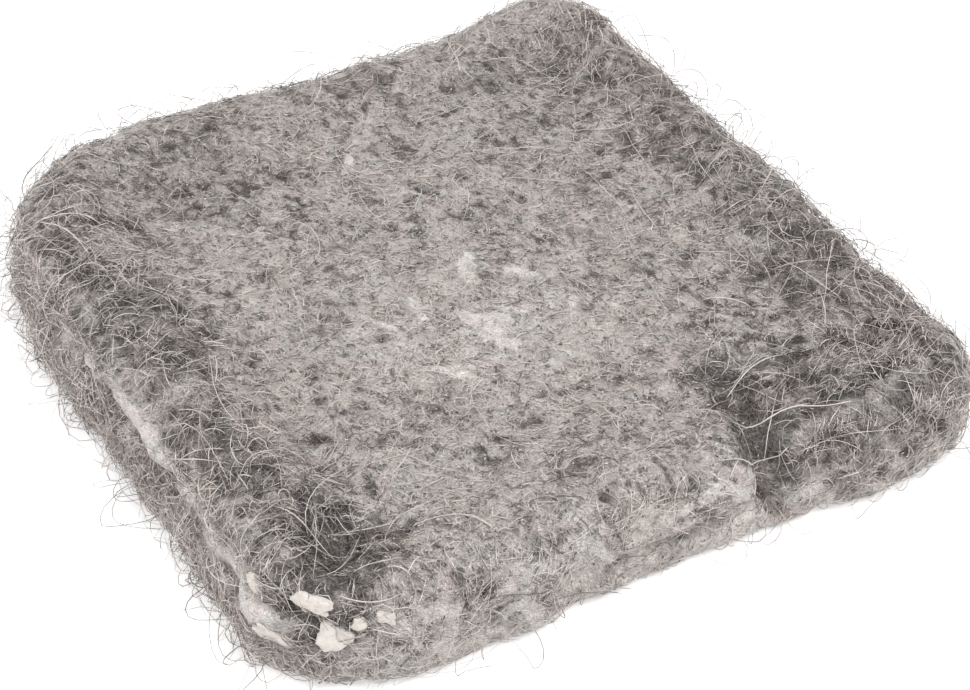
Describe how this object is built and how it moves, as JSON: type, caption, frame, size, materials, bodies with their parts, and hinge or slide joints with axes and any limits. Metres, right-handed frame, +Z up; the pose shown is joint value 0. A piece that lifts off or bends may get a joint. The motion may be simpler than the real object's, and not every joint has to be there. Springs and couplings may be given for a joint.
{
  "type": "steel wool pad",
  "caption": "Square cushion of folded and pressed steel wool with dried soap caught in it, for scouring pans.",
  "frame": {"origin": "middle of the flat underside", "axes": "+X towards the pale pressed end face, +Y towards the rolled lobe, +Z up out of the dished top"},
  "size_m": [0.0764, 0.0722, 0.0137],
  "materials": {
    "steel_wool": "matted fine steel fibres, dull, with a trace of dried soap",
    "dried_soap": "dry, matt, cream"
  },
  "bodies": {
    "root": {"wool_pad": "steel_wool", "soap_flake_1": "dried_soap", "soap_flake_2": "dried_soap", "soap_flake_3": "dried_soap", "soap_flake_4": "dried_soap", "soap_flake_5": "dried_soap", "soap_flake_6": "dried_soap"}
  },
  "joints": []
}
